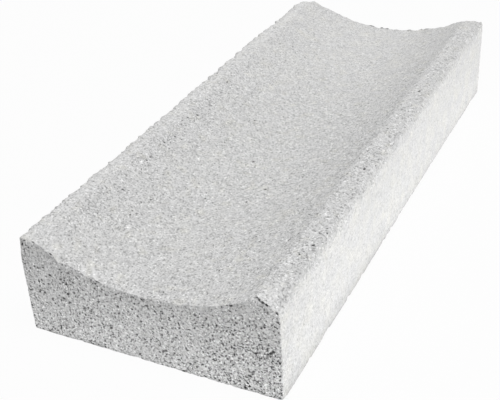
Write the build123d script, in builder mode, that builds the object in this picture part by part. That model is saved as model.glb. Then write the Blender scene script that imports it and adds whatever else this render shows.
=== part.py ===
"""Concrete gutter channel, one pressed unit.

A block with a flat base, upright sides and ends, and a shallow round channel along its top
between two flat rims. It lies on its base with the channel up. X runs across the channel,
Y along it and Z up. The origin is the middle of the base.
"""

import os

from build123d import *

# Driving dimensions, in millimetres
length = 500.0
width = 200.0
height = 80.0
channel_depth = 22.5
rim_width = 17.5  # from the side to where the channel would meet the rim with no rounding
lip_radius = 6.0  # rounding between rim and channel
rim_edge_radius = 4.0  # rounding between rim and side
arris_radius = 1.5  # worn edge round the base and round both ends

# Worked out from the driving dimensions
side_x = width / 2
lip_x = side_x - rim_width
channel_floor = height - channel_depth


with BuildPart() as gutter_channel:
    # Cross-section, drawn with sharp corners and pulled out to both ends
    with BuildSketch(Plane.XZ) as cross_section:
        with BuildLine() as outline:
            base = Line((-side_x, 0), (side_x, 0))
            right_side = Line(base @ 1, (side_x, height))
            right_rim = Line(right_side @ 1, (lip_x, height))
            channel = ThreePointArc(right_rim @ 1, (0, channel_floor), (-lip_x, height))
            left_rim = Line(channel @ 1, (-side_x, height))
            left_side = Line(left_rim @ 1, base @ 0)
        make_face()
    extrude(amount=length / 2, both=True)

    # The four long edges of the rims, from left to right: outer, lip, lip, outer
    rim_edges = gutter_channel.edges().filter_by(Axis.Y).group_by(Axis.Z)[-1].sort_by(Axis.X)
    fillet(rim_edges[1:3], lip_radius)
    rim_edges = gutter_channel.edges().filter_by(Axis.Y).group_by(Axis.Z)[-1].sort_by(Axis.X)
    fillet([rim_edges[0], rim_edges[-1]], rim_edge_radius)

    # Arris round both ends and along the foot of both sides
    end_edges = gutter_channel.faces().filter_by(Axis.Y).edges()
    foot_edges = gutter_channel.edges().filter_by(Axis.Y).group_by(Axis.Z)[0]
    fillet(end_edges + foot_edges, arris_radius)

gutter_channel.part.label = "gutter_channel"

os.makedirs("parts", exist_ok=True)
export_step(gutter_channel.part, "parts/gutter_channel.step")
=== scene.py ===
import math
from functools import partial
from itertools import product

import bpy
import numpy as np
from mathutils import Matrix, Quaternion, Vector


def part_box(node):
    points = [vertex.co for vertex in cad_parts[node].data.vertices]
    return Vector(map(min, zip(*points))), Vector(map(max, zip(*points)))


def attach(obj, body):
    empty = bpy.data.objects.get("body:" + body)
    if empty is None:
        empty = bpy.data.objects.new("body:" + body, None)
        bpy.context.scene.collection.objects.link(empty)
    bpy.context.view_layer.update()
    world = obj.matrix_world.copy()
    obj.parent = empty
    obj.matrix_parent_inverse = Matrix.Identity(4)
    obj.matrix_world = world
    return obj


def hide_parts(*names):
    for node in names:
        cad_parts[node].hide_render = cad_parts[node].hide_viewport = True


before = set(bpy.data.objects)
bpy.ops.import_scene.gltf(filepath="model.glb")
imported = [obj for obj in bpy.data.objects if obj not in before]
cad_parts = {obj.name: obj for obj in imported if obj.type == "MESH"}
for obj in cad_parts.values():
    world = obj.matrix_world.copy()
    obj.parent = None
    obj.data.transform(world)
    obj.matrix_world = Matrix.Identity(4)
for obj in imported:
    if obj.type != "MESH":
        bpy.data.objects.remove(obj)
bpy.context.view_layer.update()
mm = 0.001  # metres


def linear(hexColour):  # sRGB hex to the linear values that shaders take
    srgb = np.array([int(hexColour[i:i + 2], 16) for i in (1, 3, 5)]) / 255
    values = np.where(srgb <= 0.04045, srgb / 12.92, ((srgb + 0.055) / 1.055) ** 2.4)
    return (*values.tolist(), 1.0)


def addNode(tree, kind, inputs=None, **settings):  # an input is a plain value or the output to link
    node = tree.nodes.new("ShaderNode" + kind)
    for name, value in settings.items():
        setattr(node, name, value)
    for socket, value in (inputs or {}).items():
        if isinstance(value, bpy.types.NodeSocket):
            tree.links.new(value, node.inputs[socket])
        else:
            node.inputs[socket].default_value = value
    return node


def smoothStep(low, high, value):  # 0 at low and before it, 1 at high and past it, an S curve between
    share = np.clip((value - low) / (high - low), 0, 1)
    return share * share * (3 - 2 * share)


# Value noise: a random height at each corner of a cubic lattice, blended across each cell, -1 to 1
def softNoise(points, cell, seed):
    lattice = (points - points.min(axis=0)) / cell
    corner = lattice.astype(int)
    blend = lattice - corner
    blend = blend * blend * (3 - 2 * blend)
    heights = np.random.default_rng(seed).uniform(-1, 1, corner.max(axis=0) + 2)
    total = np.zeros(len(points))
    for step in product((0, 1), repeat=3):
        weight = np.where(step, blend, 1 - blend).prod(axis=1)
        total += weight * heights[tuple((corner + step).T)]
    return total


# One random spot in each cell of a cubic lattice: how far the nearest one is, and its own number
# from 0 to 1
def nearestSpot(points, cell, seed):
    lattice = (points - points.min(axis=0)) / cell + 1
    corner = lattice.astype(int)
    rng = np.random.default_rng(seed)
    size = corner.max(axis=0) + 2
    offsets = rng.random((*size, 3))
    numbers = rng.random(size)
    distance = np.full(len(points), np.inf)
    number = np.zeros(len(points))
    for step in product((-1, 0, 1), repeat=3):
        neighbour = corner + step
        place = tuple(neighbour.T)
        gap = np.linalg.norm(neighbour + offsets[place] - lattice, axis=1)
        closer = gap < distance
        distance = np.where(closer, gap, distance)
        number = np.where(closer, numbers[place], number)
    return distance * cell, number


# 1 at a spot, falling off round it as a bell curve whose reach may differ by axis
def bell(points, spot, reach):
    return np.exp(-(((points - spot) / reach) ** 2).sum(axis=1))


# 1 on two edges, half a width to either side and at a height, falling off round them as a bell curve
def nearEdges(across, up, width, height, reach):
    return np.exp(-((np.abs(across) - width / 2) ** 2 + (up - height) ** 2) / reach ** 2)


# The block, in millimetres, with its origin at the middle of the base
castBlock = {
    # the section and its edges
    "channelDepth": 22.5,
    "rimWidth": 17.5,  # from the side to where channel and rim would meet with no rounding
    "lipRadius": 6.0,
    "rimEdgeRadius": 4.0,
    "arrisRadius": 0.8,  # of a well kept edge at the ends and the foot
    "arrisWave": 0.4,  # the share of it by which it varies
    "arrisWaveSize": 9.0,
    # the mesh
    "cellsAcross": 136,
    "cellsAlong": 332,
    "cellsUp": 52,
    "baseStep": 4,  # the base has one cell for this many of the sides
    "baseInset": 4.0,
    "crowding": 1.6,  # how much closer the cells lie at an edge
    "crowdingReach": (12.0, 5.0, 5.0),  # in x, y and z
    "mapGap": 4.0,  # between the faces on the flat map
    # worn corners: x, y, z, reach and added rounding
    "wornCorners": [
        (-100, 250, 80, 20, 6.0),
        (-100, -250, 80, 10, 2.2),
        (100, 90, 0, (5, 120, 5), 3.0),
    ],
    # worn ends: y, how far the channel and the rims have sunk there, and the reach of that
    "wornEnds": [(-250, 0.9, 0.0, 8), (250, 0.0, 0.9, 12)],
    # chips in the edges, and one lump: x, y, z, reach and how far the surface has gone in x, y and z
    "chips": [
        (99, -250, 79, (6.5, 14, 8), (0, 0, -8.0)),
        (82.5, -250, 80, 3, (0, 2.5, 0)),
        (-77, -250, 76, 5, (0, 0.3, -1.2)),
        (-45, -250, 63, 2.5, (0, 0.4, -1.8)),
        (-31, -250, 60, 3.5, (0, 0.4, -1.8)),
        (-19, -250, 58, 3, (0, 0.3, -1.0)),
        (28, -250, 59, 3, (0, 0.3, -1.0)),
        (86, 250, 80, (14, 14, 10), (0, 0, -1.6)),
        (60, 250, 68, (16, 6, 10), (0, 0, -0.9)),
        (-50, 250, 65, (18, 5, 10), (0, 0, 1.0)),
        (-100, 205, 79, (6, 45, 8), (1.5, 0, -0.3)),
    ],
    # a notch in the near edge: from x, to x, the height of its floor and how far back it runs
    "notch": (-69, -57, 67.4, 5),
    "notchFades": (0.7, 3.0, 1.0),  # its left side fades this far both ways, its right one in and out
    "notchFlat": 0.4,  # of its run back is cut as deep as it goes
    "notchCut": 0.9,  # of what stood over its floor is gone
    # lone pits, with painted shade in them: x, y and z
    "lonePits": [
        # by the near edge of the right rim
        (83, -248, 80), (85, -249, 79), (88, -250, 78), (91, -250, 77), (94, -250, 77), (98, -249, 72),
        # by the near edge of the left rim
        (-95, -250, 79), (-97, -250, 75), (-87, -250, 80), (-73, -250, 73),
        # on the near end
        (-89, -250, 37), (-85, -250, 37), (-68, -250, 36), (-64, -250, 41), (-64, -250, 50),
        (-68, -250, 53), (-77, -250, 54), (1, -250, 50), (51, -250, 66), (66, -250, 69),
        (90, -250, 41), (92, -250, 38), (94, -250, 40),
        # on the top
        (-71, -158, 74), (-96, 45, 80), (-10, -59, 58), (18, -96, 58), (73, -176, 75),
        (94, -182, 80), (91, -74, 80), (89, 70, 80),
    ],
    "lonePitRadius": 1.25,
    # other pits, strewn by chance over the open places, also with painted shade
    "pitDepth": 1.0,  # also of the lone ones
    "pitRadius": 1.2,
    "pitSpacing": 7.0,
    "pitShare": 0.18,
    "pitsFrom": 0.55,  # the openness at which they begin
    # crumbs that stand up from the far edge, darkened with painted shade: x, y, z, length and height
    "crumbs": [
        (-18, 249, 58, 4.5, 1.0),
        (-6, 249, 58, 2.2, 1.2),
        (0, 249, 58, 2.5, 1.2),
        (10, 249, 58, 3.5, 0.6),
        (24, 249, 59, 3.0, 0.6),
        (36, 249, 62, 1.6, 1.6),
        (42, 249, 63, 4.0, 0.6),
    ],
    "crumbReach": (1.5, 2.0),  # in y and z
    "crumbPaintedShade": 0.68,  # how deep their painted shade is, against a pit's
    # grains lost from the edges
    "lostSize": 3.4,
    "lostShare": 0.35,
    "lostRounding": 2.2,
    "lostDepth": 1.5,  # at the rims' outer edges
    "farTimes": 2.0,  # as much on the far half
    # how the rims' outer edges wander in and out: size of a wave and how far it goes
    "rimWaves": [(9.0, 1.5), (3.0, 1.9), (32.0, 1.0)],
    "endWave": 0.6,  # how far the top edges of the ends are worn in
    "endWaveSize": 5.0,
    "endWaveReach": 2.5,
    "footWave": 1.1,  # how far the feet of the sides are worn in
    "footWaveSize": 5.0,
    "footWaveReach": 3.0,
    # depth of the gaps between the grains
    "endRelief": 0.20,
    "rimRelief": 0.30,
    "channelRelief": 0.22,
    "sideRelief": 0.12,
    "baseRelief": 0.15,
    "grainSize": 2.2,
    "grainSpread": 0.8,
    "grainTop": 0.6,  # where grains are cut flat
    # where one kind of surface becomes the next
    "turn": (0.5, 0.9),  # a surface starts to face a way, and fully does, at these parts of its normal
    "rimIn": 4.0,  # a rim's grain begins this far inside the channel's edge
    "rimBlend": 6.0,  # and is full this much further out
    "rimShift": 2.5,  # on both rims this lies that far to the left
    "edgeGrain": 9.0,  # the rims' grain runs this far down the sides
    "edgeGrainShare": 0.6,
    "raggedWaves": [(7.0, 5.0), (3.0, 3.0)],  # of the line where it ends, as in rimWaves
    "raggedFade": 4.0,
    # how far the gaps between the grains are open, from 0 to 1
    "endOpen": 0.9,
    "rimOpen": 0.58,
    "leftRimShare": 0.83,  # of that is left on the left rim
    "channelOpen": 0.53,
    "sideOpen": 0.25,
    "openWave": 0.10,  # the share by which it varies
    "openWaveSize": 28.0,
    "farStart": -0.1,  # the top changes from here to its far end, in lengths from the middle
    "farShare": 0.72,  # of the openness is left there
    "endCalm": 0.2,  # the ends are that much less open close under the channel
    "endCalmReach": 9.0,
    "endCalmPaintedShade": 0.08,  # and have that much painted shade
    # more open or closed places: x, y, z, reach and added openness
    "roughSpots": [
        (74, -250, 14, 30, 0.24),
        (-85, -250, 58, 22, -0.15),
        (-15, -250, 45, (45, 4, 14), -0.06),
        (75, -250, 58, (22, 4, 10), -0.06),
        (92, -200, 80, 40, 0.03),
        (-78, -60, 75, (6, 140, 6), 0.14),
        (70, 70, 72, (14, 170, 10), 0.06),
    ],
    # how much paler the rims are, the left one mostly by painted light, painted light towards the far end of
    # the top on the left, and a painted highlight along the channel's near end
    "leftRimPaleAndPaintedLight": 0.09,
    "rightRimPale": 0.025,
    "farPaintedLight": 0.05,
    "farPaintedLightTo": 0.35,  # in widths from the middle to the right, where that is gone
    "nearPaintedHighlight": 0.045,
    "nearReach": 10.0,
    "edgePaintedShade": 0.1,  # painted shade on the rims' rough outer edges
    "edgeReach": 5.0,
    "edgeDrop": 0.75,  # they lie below the top by this share of the rim edge's radius
    "footShade": 0.05,  # how much darker the sides are close to the foot
    "footReach": 6.0,
    "footMiddle": 1.4,  # this many reaches up it is darkest
    # paler and darker places: x, y, z, reach and how much paler, with five pale grains first and then mostly
    # painted light and painted shade
    "paleGrainsAndPaintedLight": [
        (-77, -121, 77, 1.7, 0.6),
        (-48, -82, 65, 1.6, 0.45),
        (-48, -190, 65, 1.5, 0.45),
        (-32, -175, 61, 1.5, 0.4),
        (88, -144, 80, 1.8, 0.5),
        # painted shade on the near right rim's outer edge
        (98, -200, 78, (5, 50, 5), -0.10),
        # painted shade on the channel's near lip and slope on the left, painted light on its near slope on
        # the right
        (-79, -195, 76, (6, 45, 6), -0.05),
        (-60, -195, 69, (14, 45, 10), -0.03),
        (50, -195, 66, (25, 50, 12), 0.035),
        # darker close to the near foot of the right side
        (100, -190, 7, (4, 60, 5), -0.05),
        # painted shade high on the right side towards the middle, painted light low on it at the far end
        (100, -85, 62, (4, 55, 16), -0.035),
        (100, 205, 14, (4, 60, 16), 0.045),
        # painted shade along the right lip's slope
        (77.5, 20, 77.5, (3, 240, 4), -0.055),
        # painted light at the channel's far end
        (0, 190, 58, (55, 80, 14), 0.02),
        # painted light along the foot of the near end
        (0, -250, 2, (110, 4, 4), 0.05),
    ],
    "seed": 11,
}


# Steps from -size/2 to size/2, closer together near both ends: equal shares of a density that rises there
def crowdedSteps(size, cells, crowding, reach):
    samples = 4001  # many to each step
    fine = np.linspace(-size / 2, size / 2, samples)
    density = 1 + crowding * np.exp((np.abs(fine) - size / 2) / reach)
    share = np.cumsum(density)
    share = (share - share[0]) / (share[-1] - share[0])
    return np.interp(np.linspace(0, 1, cells + 1), share, fine)


# Two parameters on a grid give two of the coordinates, the third is fixed
def boxFace(first, second, fixed, axes):
    grid = np.empty((len(first), len(second), 3))
    grid[..., axes[0]] = first[:, None]
    grid[..., axes[1]] = second[None, :]
    grid[..., axes[2]] = fixed
    return grid


def gridCells(shape):  # corner numbers of each cell of a grid, in turning order
    number = np.arange(shape[0] * shape[1]).reshape(shape[:2])
    corners = (number[:-1, :-1], number[1:, :-1], number[1:, 1:], number[:-1, 1:])
    return np.stack(corners, axis=-1).reshape(-1, 4)


def ringAround(xs, ys):  # the outline of a rectangular grid on the floor, anticlockwise from above
    sides = (
        boxFace(xs[:-1], ys[:1], 0, (0, 1, 2)),
        boxFace(xs[-1:], ys[:-1], 0, (0, 1, 2)),
        boxFace(xs[:0:-1], ys[-1:], 0, (0, 1, 2)),
        boxFace(xs[:1], ys[:0:-1], 0, (0, 1, 2)),
    )
    return np.concatenate([side.reshape(-1, 3) for side in sides])


# A plain box: six grids, each point with its place on the flat map, and between the fine outline of the
# sides and the base's coarser one a strip of triangles
def plainBox(size, block):
    width, length, height = size
    crowding = block["crowding"]
    reachX, reachY, reachZ = block["crowdingReach"]
    xs = crowdedSteps(width, block["cellsAcross"], crowding, reachX)
    ys = crowdedSteps(length, block["cellsAlong"], crowding, reachY)
    zs = crowdedSteps(height, block["cellsUp"], crowding, reachZ) + height / 2
    inset = block["baseInset"]
    step = block["baseStep"]
    baseXs = xs[::step] * (1 - 2 * inset / width)
    baseYs = ys[::step] * (1 - 2 * inset / length)

    gap = block["mapGap"]
    mapSize = 2 * (width + height) + 4 * gap
    onMap = (2 * height + 1.5 * width + 3 * gap, length / 2)  # the middle of the base
    faces = (
        (boxFace(xs, ys, height, (0, 1, 2)), (0, 1), (height + gap + width / 2, length / 2)),
        (boxFace(zs, ys, -width / 2, (2, 1, 0)), (2, 1), (0, length / 2)),
        (boxFace(ys, zs, width / 2, (1, 2, 0)), (2, 1), (height + width + 2 * gap, length / 2)),
        (boxFace(xs, zs, -length / 2, (0, 2, 1)), (0, 2), (width / 2, length + gap)),
        (boxFace(zs, xs, length / 2, (2, 0, 1)), (0, 2), (1.5 * width + gap, length + gap)),
        (boxFace(baseYs, baseXs, 0, (1, 0, 2)), (0, 1), onMap),
    )
    places, flatMap, cells = [], [], []
    count = 0
    for grid, axes, shift in faces:
        spots = grid.reshape(-1, 3)
        places.append(spots)
        flatMap.append((spots[:, axes] + shift) / mapSize)
        cells.append(gridCells(grid.shape) + count)
        count += len(spots)

    outer = ringAround(xs, ys)
    inner = ringAround(baseXs, baseYs)
    for ring in (outer, inner):
        places.append(ring)
        flatMap.append((ring[:, :2] + onMap) / mapSize)
    outerNumber = count + np.arange(len(outer))
    innerNumber = count + len(outer) + np.arange(len(inner))
    halfStep = step // 2
    toInner = innerNumber[((np.arange(len(outer)) + halfStep) // step) % len(inner)]
    fan = np.stack((np.roll(outerNumber, -1), outerNumber, toInner), axis=1)
    between = outerNumber[np.arange(len(inner)) * step + step - halfStep]
    fill = np.stack((innerNumber, np.roll(innerNumber, -1), between), axis=1)
    places, flatMap, cells = (np.concatenate(part) for part in (places, flatMap, cells))
    return places, flatMap, cells, np.concatenate((fan, fill))


# Height of the section's top at x: channel arc, lip arc, flat rim and rim edge, each tangent to the next
def topHeight(x, size, block):
    width, _, height = size
    across = np.abs(x)
    depth = block["channelDepth"]
    lip = block["lipRadius"]
    edge = block["rimEdgeRadius"]
    half = width / 2 - block["rimWidth"]
    radius = (half ** 2 + depth ** 2) / (2 * depth)
    centre = height - depth + radius
    lipX = math.sqrt((radius + lip) ** 2 - (centre - height + lip) ** 2)
    edgeX = width / 2 - edge
    channel = centre - np.sqrt(np.maximum(radius ** 2 - across ** 2, 0))
    lipArc = height - lip + np.sqrt(np.maximum(lip ** 2 - (across - lipX) ** 2, 0))
    edgeArc = height - edge + np.sqrt(np.maximum(edge ** 2 - (across - edgeX) ** 2, 0))
    meets = lipX * radius / (radius + lip)
    return np.select([across < meets, across < lipX, across < edgeX], [channel, lipArc, height], edgeArc)


def boxLimits(size):  # lowest and highest corner, from the middle of the base
    return size * (-0.5, -0.5, 0), size * (0.5, 0.5, 1)


# Rounded box: a point is drawn to the core that lies one radius inside, then put one radius from it
def roundedBox(points, size, radius):
    low, high = boxLimits(size)
    reach = radius[:, None]
    core = np.clip(points, low + reach, high - reach)
    offset = points - core
    return core + reach * offset / np.linalg.norm(offset, axis=1)[:, None]


def vertexNormals(points, cells):  # the cells' normals, added up at each corner
    diagonals = points[cells[:, 2]] - points[cells[:, 0]], points[cells[:, 3]] - points[cells[:, 1]]
    cellNormals = np.cross(*diagonals)
    total = np.zeros_like(points)
    for corner in cells.T:
        np.add.at(total, corner, cellNormals)
    return total / np.linalg.norm(total, axis=1)[:, None]


def farTimes(box, block):  # 1 on the near half, and how many times as much is lost on the far half
    return np.where(box[:, 1] > 0, block["farTimes"], 1)


# Grains lost from the edges: spots chosen by their number, each a bell curve, and more on the far half
def lostGrains(box, block):
    distance, number = nearestSpot(box, block["lostSize"], block["seed"])
    chosen = smoothStep(1 - block["lostShare"], 1, number)
    lost = chosen * np.exp(-(2 * distance / block["lostSize"]) ** 2)
    return lost * farTimes(box, block)


# The worn form: a rounded box, rounder where an edge is worn or has lost grains, its heights scaled to the
# section's top, then chipped, sunk at the ends and notched. Also how far each point is towards a rim, 0 to 1
def wornForm(box, lost, size, block):
    width, length, height = size
    varied = block["arrisWave"] * softNoise(box, block["arrisWaveSize"], block["seed"] + 1)
    rounding = block["arrisRadius"] * (1 + varied) + block["lostRounding"] * lost
    for *spot, reach, added in block["wornCorners"]:
        rounding = rounding + added * bell(box, spot, reach)
    points = roundedBox(box, size, rounding)
    points[:, 2] *= topHeight(points[:, 0], size, block) / height
    for *spot, reach, shift in block["chips"]:
        points = points + bell(points, spot, reach)[:, None] * shift

    rimStart = width / 2 - block["rimWidth"] - block["rimIn"]
    rimFull = rimStart + block["rimBlend"]
    towardRim = smoothStep(rimStart, rimFull, np.abs(points[:, 0] + block["rimShift"]))
    for endY, channelSink, rimSink, reach in block["wornEnds"]:
        sunk = channelSink + (rimSink - channelSink) * towardRim
        points[:, 2] *= 1 - sunk / height * np.exp(-((points[:, 1] - endY) / reach) ** 2)

    fromX, toX, floorZ, back = block["notch"]
    leftFade, rightIn, rightOut = block["notchFades"]
    inNotch = smoothStep(fromX - leftFade, fromX + leftFade, points[:, 0])
    inNotch = inNotch * (1 - smoothStep(toX - rightIn, toX + rightOut, points[:, 0]))
    inNotch = inNotch * (1 - smoothStep(block["notchFlat"] * back, back, points[:, 1] + length / 2))
    points[:, 2] -= block["notchCut"] * inNotch * np.maximum(points[:, 2] - floorZ, 0)
    return points, towardRim


# Shares of each kind of surface: ends, sides and base by the way they face, rims and channel by their place,
# with some of the rims' grain carried over their edge to a ragged line on the sides
def surfaceKinds(points, normals, towardRim, size, block):
    facing = partial(smoothStep, *block["turn"])
    onEnd = facing(np.abs(normals[:, 1]))
    onSide = facing(np.abs(normals[:, 0]))
    onBase = facing(-normals[:, 2])
    onRim = towardRim * (1 - onSide) * (1 - onEnd)
    onChannel = np.clip(1 - onEnd - onSide - onRim - onBase, 0, 1)
    ragged = points[:, 2]
    for number, (waveSize, far) in enumerate(block["raggedWaves"]):
        ragged = ragged + far * softNoise(points, waveSize, block["seed"] + 7 + number)
    fade = block["raggedFade"]
    aboveLine = smoothStep(-fade, fade, ragged - size[2] + block["edgeGrain"])
    overEdge = block["edgeGrainShare"] * onSide * aboveLine
    return onEnd, onSide - overEdge, onBase, onRim + overEdge, onChannel


# How open the grain is and how much paler the cement, mostly painted light and shade: each kind of surface's
# own value times its share, changed towards the far end, the near end, the edges and the foot, with single
# places added
def gradeSurface(points, kinds, towardRim, rimEdge, size, block):
    width, length, _ = size
    x, y, z = points.T
    onEnd, onSide, onBase, onRim, onChannel = kinds
    along = smoothStep(block["farStart"], 0.5, y / length)  # the far end is half a length from the middle
    rimOpen = block["rimOpen"] * np.where(x < 0, block["leftRimShare"], 1)
    onTop = (rimOpen * onRim + block["channelOpen"] * onChannel) * (1 + (block["farShare"] - 1) * along)
    openness = block["endOpen"] * onEnd + onTop + block["sideOpen"] * (onSide + onBase)
    varied = block["openWave"] * softNoise(points, block["openWaveSize"], block["seed"] + 6)
    openness = openness * (1 + varied)
    under = topHeight(x, size, block) - z
    calm = onEnd * (1 - towardRim) * np.exp(-(under / block["endCalmReach"]) ** 2)
    openness = openness - block["endCalm"] * calm
    for *spot, reach, added in block["roughSpots"]:
        openness = openness + added * bell(points, spot, reach)

    # paler rims, the left one mostly by painted light, and painted light towards the far end on the left
    rimPaleAndPaintedLight = np.where(x < 0, block["leftRimPaleAndPaintedLight"], block["rightRimPale"])
    farLeft = along * smoothStep(block["farPaintedLightTo"], 0, x / width)
    paleAndPaintedLight = rimPaleAndPaintedLight * onRim + block["farPaintedLight"] * farLeft * (onRim + onChannel)
    # painted shade on the ends close under the channel
    paleAndPaintedLight = paleAndPaintedLight - block["endCalmPaintedShade"] * calm
    # a painted highlight along the channel's near end
    nearEnd = np.exp(-((y + length / 2) / block["nearReach"]) ** 2)
    paleAndPaintedLight = paleAndPaintedLight + block["nearPaintedHighlight"] * nearEnd * onChannel
    # painted shade on the rims' outer edges
    paleAndPaintedLight = paleAndPaintedLight - block["edgePaintedShade"] * rimEdge
    reach = block["footReach"]
    foot = np.exp(-((z - block["footMiddle"] * reach) / reach) ** 2)
    paleAndPaintedLight = paleAndPaintedLight - block["footShade"] * foot * onSide
    # pale grains, and places of painted light and shade
    for *spot, reach, lift in block["paleGrainsAndPaintedLight"]:
        paleAndPaintedLight = paleAndPaintedLight + lift * bell(points, spot, reach)
    return openness, paleAndPaintedLight


# Depth of the gaps between the grains: how far noise lies below the grains' flat tops, times the relief
# of each kind of surface
def grainGaps(points, kinds, block):
    onEnd, onSide, onBase, onRim, onChannel = kinds
    relief = (block["endRelief"] * onEnd + block["sideRelief"] * onSide + block["rimRelief"] * onRim
              + block["channelRelief"] * onChannel + block["baseRelief"] * onBase)
    grain = block["grainSpread"] * softNoise(points, block["grainSize"], block["seed"] + 2)
    return relief * np.maximum(block["grainTop"] - grain, 0)


# How far the edges are worn in: lost grains and noise in several sizes along the rims' outer edges, and
# the positive half of noise along the ends' top edges and the feet of the sides
def edgeWear(points, box, lost, rimEdge, size, block):
    width, length, height = size
    seed = block["seed"]
    sink = rimEdge * block["lostDepth"] * lost
    for number, (waveSize, far) in enumerate(block["rimWaves"]):
        sink = sink + rimEdge * far * softNoise(points, waveSize, seed + 9 + 10 * number)
    endEdge = nearEdges(box[:, 1], box[:, 2], length, height, block["endWaveReach"])
    endEdge = endEdge * farTimes(box, block)
    wave = softNoise(points, block["endWaveSize"], seed + 10)
    sink = sink + block["endWave"] * endEdge * np.maximum(wave, 0)
    footEdge = nearEdges(points[:, 0], points[:, 2], width, 0, block["footWaveReach"])
    wave = softNoise(points, block["footWaveSize"], seed + 12)
    return sink + block["footWave"] * footEdge * np.maximum(wave, 0)


# Pits strewn by chance, lone pits and standing crumbs, all bell curves: how far each point sinks, and how
# much painted shade it gets, 1 in the middle of a pit
def pitsAndCrumbs(points, openness, block):
    distance, number = nearestSpot(points, block["pitSpacing"], block["seed"] + 5)
    chosen = number < block["pitShare"] * (openness - block["pitsFrom"])
    shade = np.exp(-(distance / block["pitRadius"]) ** 2) * chosen
    sink = block["pitDepth"] * shade
    for spot in block["lonePits"]:
        hollow = bell(points, spot, block["lonePitRadius"])
        sink = sink + block["pitDepth"] * hollow
        shade = np.maximum(shade, hollow)
    for *spot, reach, rise in block["crumbs"]:
        crumb = bell(points, spot, (reach, *block["crumbReach"]))
        sink = sink - rise * crumb
        shade = np.maximum(shade, block["crumbPaintedShade"] * crumb)
    return sink, shade


def buildBlock(name, block):
    boxLow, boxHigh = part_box(name)
    size = np.array((boxHigh - boxLow) / mm)
    width, _, height = size
    places, flatMap, cells, triangles = plainBox(size, block)
    # points of two faces that fall together become one
    box, weld = np.unique(places.round(6), axis=0, return_inverse=True)
    weld = weld.ravel()
    quads = weld[cells]
    corners = np.concatenate((cells.ravel(), triangles.ravel()))

    lost = lostGrains(box, block)
    points, towardRim = wornForm(box, lost, size, block)
    normals = vertexNormals(points, quads)
    kinds = surfaceKinds(points, normals, towardRim, size, block)
    edgeHeight = height - block["edgeDrop"] * block["rimEdgeRadius"]
    rimEdge = nearEdges(points[:, 0], points[:, 2], width, edgeHeight, block["edgeReach"])
    openness, paleAndPaintedLight = gradeSurface(points, kinds, towardRim, rimEdge, size, block)
    sink, pitPaintedShade = pitsAndCrumbs(points, openness, block)
    sink = sink + grainGaps(points, kinds, block) + edgeWear(points, box, lost, rimEdge, size, block)
    points = np.clip(points - normals * sink[:, None], *boxLimits(size))  # nothing leaves the box

    mesh = bpy.data.meshes.new(name + "_cast")
    mesh.from_pydata(points * mm, [], [*quads.tolist(), *weld[triangles].tolist()])
    mesh.polygons.foreach_set("use_smooth", np.ones(len(mesh.polygons), bool))
    # to the material: how open the grain is, the painted shade of pits and crumbs, and the paleness, mostly
    # painted light and shade
    for label, values in (("openGrain", openness), ("pitPaintedShade", pitPaintedShade), ("paleAndPaintedLight", paleAndPaintedLight)):
        attribute = mesh.attributes.new(label, "FLOAT", "POINT")
        attribute.data.foreach_set("value", values.astype(np.float32))
    unwrap = mesh.uv_layers.new(name="OFBake")
    unwrap.data.foreach_set("uv", flatMap[corners].ravel())
    mesh.update()
    piece = bpy.data.objects.new(name + "_cast", mesh)
    bpy.context.scene.collection.objects.link(piece)
    mesh.calc_loop_triangles()
    print("block:", len(points), "points,", len(mesh.loop_triangles), "triangles")
    return piece


# Semi-dry concrete, pressed in a mould: dull light grey, sand grains standing in the cement, painted shade
# in the gaps between them and in a pore here and there, and closed and pale where the wall of the mould
# smoothed it
pressedConcrete = {
    "cement": "#D5D5D5",
    "warmCement": "#D7D6D1",
    "roughness": 0.93,
    "specular": 0.3,
    # sizes in millimetres
    "sandSize": 1.05,
    "gapSize": 1.55,
    "poreSize": 1.2,
    "tintSize": 16.0,
    "blotchSize": 10.0,
    "mottleSize": 3.8,
    "reliefHeight": 1.0,
    "poreDepth": 0.6,
    # tones, as shares of the cement's
    "sandSpread": 0.95,  # from the darkest to the lightest grain, where the gaps are fully open
    "sandLift": 0.025,  # makes up for some of the painted shade in the gaps
    "paleShare": 0.05,  # of the grains are pale
    "paleLift": 0.38,
    # painted shade in the gaps and in the pores
    "gapPaintedShade": 0.8,
    "porePaintedShade": 0.85,
    "poreShare": 0.08,
    "cloudShade": 0.3,  # of darker and lighter clouds where the surface is closed
    "mottleShade": 0.5,  # of darker and lighter patches where the gaps are not fully open
    # from none to all of a thing, by the noise or the openness that it follows
    "gapLevels": (0.5, 0.25),
    "poreOpenness": (0.53, 1.15),
    "pitLevels": (0.25, 0.6),
    "calmOpenness": (0.85, 0.65),
    "warmLevels": (0.4, 0.7),
    "blotchLevels": (0.58, 0.72),
    "closing": 1.6,  # a surface counts as closed by 1 less this times its openness
}


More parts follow.
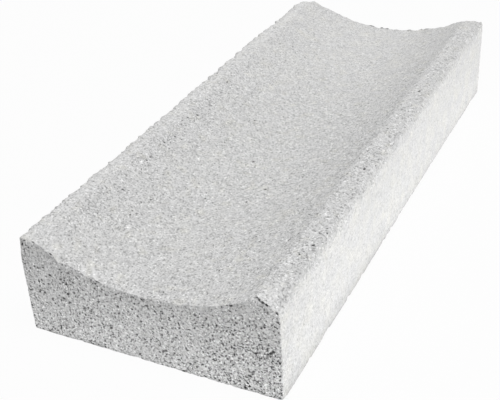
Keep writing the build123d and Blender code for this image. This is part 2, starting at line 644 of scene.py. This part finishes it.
def makeConcrete(finish):
    material = bpy.data.materials.new("pressed_concrete")
    material.use_nodes = True
    tree = material.node_tree
    node = partial(addNode, tree)
    shader = tree.nodes["Principled BSDF"]
    place = node("TexCoord").outputs["Object"]
    openGrain = node("Attribute", attribute_name="openGrain").outputs["Fac"]
    # painted shade of the pits and standing crumbs
    hollow = node("Attribute", attribute_name="pitPaintedShade").outputs["Fac"]
    paleAndPaintedLight = node("Attribute", attribute_name="paleAndPaintedLight").outputs["Fac"]

    # sand fills small cells, each with a number for its tone, and gaps are the low places of a finer relief
    sand = node("TexVoronoi", {"Vector": place, "Scale": 1 / (finish["sandSize"] * mm)}).outputs["Color"]
    sandNumber = node("SeparateColor", {"Color": sand}).outputs["Red"]
    gapScale = 1 / (finish["gapSize"] * mm)
    relief = node("TexNoise", {"Vector": place, "Scale": gapScale, "Detail": 1.0}).outputs["Fac"]
    gapStart, gapFull = finish["gapLevels"]
    gap = node("MapRange", {"Value": relief, "From Min": gapStart, "From Max": gapFull},
               interpolation_type="SMOOTHSTEP").outputs["Result"]

    tintScale = 1 / (finish["tintSize"] * mm)
    tints = node("TexNoise", {"Vector": place, "Scale": tintScale, "Detail": 2.0}).outputs["Fac"]
    closed = node("Math", {0: openGrain, 1: -finish["closing"], 2: 1.0},
                  operation="MULTIPLY_ADD", use_clamp=True).outputs[0]

    # where a larger grain is missing there is a pore, seldom where the surface is closed
    pores = node("TexVoronoi", {"Vector": place, "Scale": 1 / (finish["poreSize"] * mm)}).outputs["Color"]
    poreNumber = node("SeparateColor", {"Color": pores}).outputs["Red"]
    poreStart, poreFull = finish["poreOpenness"]
    share = node("MapRange", {"Value": openGrain, "From Min": poreStart, "From Max": poreFull,
                              "To Max": finish["poreShare"]}).outputs["Result"]
    pore = node("Math", {0: poreNumber, 1: share}, operation="LESS_THAN").outputs[0]
    # the pits and standing crumbs bring their painted shade in with the pores
    pitStart, pitFull = finish["pitLevels"]
    pit = node("MapRange", {"Value": hollow, "From Min": pitStart, "From Max": pitFull},
               interpolation_type="SMOOTHSTEP").outputs["Result"]
    pore = node("Math", {0: pore, 1: pit}, operation="MAXIMUM").outputs[0]

    # tone against the cement's: grains differ, most of them light, some pale, and gaps and pores get painted
    # shade
    lightness = node("Math", {0: sandNumber}, operation="SQRT").outputs[0]
    middle = finish["sandSpread"] * 2 / 3  # the mean of a square root is two thirds
    tone = node("Math", {0: lightness, 1: finish["sandSpread"], 2: finish["sandLift"] - middle},
                operation="MULTIPLY_ADD").outputs[0]
    pale = node("Math", {0: sandNumber, 1: 1 - finish["paleShare"]}, operation="GREATER_THAN").outputs[0]
    tone = node("Math", {0: pale, 1: finish["paleLift"], 2: tone}, operation="MULTIPLY_ADD").outputs[0]
    tone = node("Math", {0: gap, 1: -finish["gapPaintedShade"], 2: tone}, operation="MULTIPLY_ADD").outputs[0]
    tone = node("Math", {0: tone, 1: openGrain, 2: 1.0}, operation="MULTIPLY_ADD").outputs[0]
    shade = node("Math", {0: pore, 1: -finish["porePaintedShade"], 2: 1.0}, operation="MULTIPLY_ADD").outputs[0]
    tone = node("Math", {0: tone, 1: shade}, operation="MULTIPLY").outputs[0]
    # the paleness, mostly painted light and shade, lightens or darkens the tone
    tone = node("Math", {0: tone, 1: paleAndPaintedLight, 2: tone}, operation="MULTIPLY_ADD").outputs[0]

    # closed surfaces are faintly clouded, and half open ones mottled
    cloud = node("Math", {0: tints, 1: finish["cloudShade"], 2: -finish["cloudShade"] / 2},
                 operation="MULTIPLY_ADD").outputs[0]
    tone = node("Math", {0: cloud, 1: closed, 2: tone}, operation="MULTIPLY_ADD").outputs[0]
    mottleScale = 1 / (finish["mottleSize"] * mm)
    mottle = node("TexNoise", {"Vector": place, "Scale": mottleScale, "Detail": 0.0}).outputs["Fac"]
    mottle = node("Math", {0: mottle, 1: finish["mottleShade"], 2: -finish["mottleShade"] / 2},
                  operation="MULTIPLY_ADD").outputs[0]
    calmStart, calmFull = finish["calmOpenness"]
    calm = node("MapRange", {"Value": openGrain, "From Min": calmStart, "From Max": calmFull})
    calm = node("Math", {0: calm.outputs["Result"], 1: openGrain}, operation="MULTIPLY").outputs[0]
    tone = node("Math", {0: mottle, 1: calm, 2: tone}, operation="MULTIPLY_ADD").outputs[0]

    # faint warm tints in the cement, wide where the surface is closed and in blotches elsewhere
    warmStart, warmFull = finish["warmLevels"]
    warm = node("MapRange", {"Value": tints, "From Min": warmStart, "From Max": warmFull}).outputs["Result"]
    warm = node("Math", {0: warm, 1: closed}, operation="MULTIPLY").outputs[0]
    blotchScale = 1 / (finish["blotchSize"] * mm)
    blotch = node("TexNoise", {"Vector": place, "Scale": blotchScale, "Detail": 1.0}).outputs["Fac"]
    blotchStart, blotchFull = finish["blotchLevels"]
    blotch = node("MapRange", {"Value": blotch, "From Min": blotchStart, "From Max": blotchFull})
    warm = node("Math", {0: blotch.outputs["Result"], 1: calm, 2: warm},
                operation="MULTIPLY_ADD", use_clamp=True).outputs[0]
    cement = node("Mix", {"Factor": warm, 6: linear(finish["cement"]), 7: linear(finish["warmCement"])},
                  data_type="RGBA").outputs[2]
    colour = node("Mix", {"Factor": 1.0, 6: cement, 7: tone},
                  data_type="RGBA", blend_type="MULTIPLY").outputs[2]
    tree.links.new(colour, shader.inputs["Base Color"])

    # heights in millimetres
    rise = node("Math", {0: relief, 1: finish["reliefHeight"]}, operation="MULTIPLY").outputs[0]
    rise = node("Math", {0: rise, 1: openGrain}, operation="MULTIPLY").outputs[0]
    rise = node("Math", {0: pore, 1: -finish["poreDepth"], 2: rise}, operation="MULTIPLY_ADD").outputs[0]
    bump = node("Bump", {"Height": rise, "Distance": mm, "Strength": 1.0})
    tree.links.new(bump.outputs["Normal"], shader.inputs["Normal"])
    shader.inputs["Roughness"].default_value = finish["roughness"]
    shader.inputs["Specular IOR Level"].default_value = finish["specular"]
    print("material:", material.name)
    return material


channel = buildBlock("gutter_channel", castBlock)
channel.data.materials.append(makeConcrete(pressedConcrete))
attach(channel, "root")
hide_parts("gutter_channel")


def seenAsWhite(tree):  # 1 for rays from the camera, or by way of gloss or glass
    path = addNode(tree, "LightPath").outputs
    seen = addNode(tree, "Math", {0: path["Is Camera Ray"], 1: path["Is Glossy Ray"]}, operation="MAXIMUM")
    seen = addNode(tree, "Math", {0: seen.outputs[0], 1: path["Is Transmission Ray"]}, operation="MAXIMUM")
    return seen.outputs[0]


# Matt paper: even and dull, mostly shown as plain white, with enough of its own shading for a soft shadow
paperFloor = {"size": 6.0, "paper": "#D6D6D6", "whiteShare": 0.95}  # size in metres


def makeFloor(floor):
    half = floor["size"] / 2
    corners = [(-half, -half, 0), (half, -half, 0), (half, half, 0), (-half, half, 0)]
    mesh = bpy.data.meshes.new("paper_floor")
    mesh.from_pydata(corners, [], [(0, 1, 2, 3)])
    piece = bpy.data.objects.new("paper_floor", mesh)
    bpy.context.scene.collection.objects.link(piece)
    material = bpy.data.materials.new("matt_paper")
    material.use_nodes = True
    tree = material.node_tree
    shader = tree.nodes["Principled BSDF"]
    shader.inputs["Base Color"].default_value = linear(floor["paper"])
    shader.inputs["Roughness"].default_value = 1.0
    shader.inputs["Specular IOR Level"].default_value = 0.0
    share = addNode(tree, "Math", {0: seenAsWhite(tree), 1: floor["whiteShare"]}, operation="MULTIPLY")
    white = addNode(tree, "Emission", {"Strength": 1.0}).outputs["Emission"]
    both = addNode(tree, "MixShader", {0: share.outputs[0], 1: shader.outputs["BSDF"], 2: white})
    tree.links.new(both.outputs["Shader"], tree.nodes["Material Output"].inputs["Surface"])
    mesh.materials.append(material)
    print("floor:", material.name)
    return piece


makeFloor(paperFloor)

# Large soft lamp from above, lit floor on the right and in front, white cards on the right, and even light
# all round, in metres and watts
studioLight = {
    "keyFrom": (0.20, -0.12, 0.98),
    "keyDistance": 4.0,
    "keySize": 2.2,
    "keyPower": 100.0,
    "skyStrength": 0.36,
    # lit floor and cards: power, size, middle and the way each faces
    "cards": [
        (0.295, (0.50, 0.22), (0.355, -0.16, 0.0002), (0, 0, 1)),  # floor on the right, its near part
        (0.66, (0.50, 0.45), (0.353, 0.175, 0.0002), (0, 0, 1)),  # and its far part
        (0.014, (0.20, 0.06), (0.20, -0.205, 0.09), (-1, 0, 0)),  # small card by the near right corner
        (0.73, (0.9, 0.075), (0.6, -0.25, 0.0375), (-1, 0, 0)),  # low card further to the right
        (0.045, (0.24, 0.10), (-0.005, -0.302, 0.0002), (0, 0, 1)),  # floor in front
    ],
}


def addLamp(name, power, size, place, facing):
    lamp = bpy.data.lights.new(name, "AREA")
    lamp.shape = "RECTANGLE"
    lamp.size, lamp.size_y = size
    lamp.energy = power
    lampObject = bpy.data.objects.new(name, lamp)
    lampObject.location = place
    lampObject.rotation_euler = Vector(facing).to_track_quat("-Z", "Y").to_euler()
    lampObject.visible_camera = False
    bpy.context.scene.collection.objects.link(lampObject)


def lightStudio(light):
    direction = Vector(light["keyFrom"]).normalized()
    size = (light["keySize"], light["keySize"])
    addLamp("soft_key", light["keyPower"], size, direction * light["keyDistance"], -direction)
    for card in light["cards"]:
        addLamp("white_card", *card)
    world = bpy.data.worlds.new("white_studio")
    world.use_nodes = True
    bpy.context.scene.world = world
    tree = world.node_tree
    sky = tree.nodes["Background"]
    sky.inputs["Color"].default_value = (1, 1, 1, 1)
    sky.inputs["Strength"].default_value = light["skyStrength"]
    white = addNode(tree, "Background", {"Color": (1, 1, 1, 1), "Strength": 1.0}).outputs["Background"]
    both = addNode(tree, "MixShader", {0: seenAsWhite(tree), 1: sky.outputs["Background"], 2: white})
    tree.links.new(both.outputs["Shader"], tree.nodes["World Output"].inputs["Surface"])
    print("light: a lamp,", len(light["cards"]), "cards and an even sky")


lightStudio(studioLight)

# Camera where the photograph was taken from, in metres, degrees and millimetres of lens
photoCamera = {
    "spot": (0.3022, -0.6712, 0.4441),
    "azimuth": 27.41,
    "elevation": 31.62,
    "roll": -3.28,
    "lens": 69.27,
}


def placeCamera(view):
    camera = bpy.data.objects.new("photo_camera", bpy.data.cameras.new("photo_camera"))
    bpy.context.scene.collection.objects.link(camera)
    azimuth, elevation = math.radians(view["azimuth"]), math.radians(view["elevation"])
    forward = Vector((-math.sin(azimuth) * math.cos(elevation),
                      math.cos(azimuth) * math.cos(elevation), -math.sin(elevation)))
    roll = Quaternion((0, 0, 1), math.radians(view["roll"]))
    camera.location = view["spot"]
    camera.rotation_euler = (forward.to_track_quat("-Z", "Y") @ roll).to_euler()
    camera.data.lens = view["lens"]
    bpy.context.scene.camera = camera
    print("camera at", view["spot"])


placeCamera(photoCamera)
bpy.context.scene.view_settings.view_transform = "Standard"
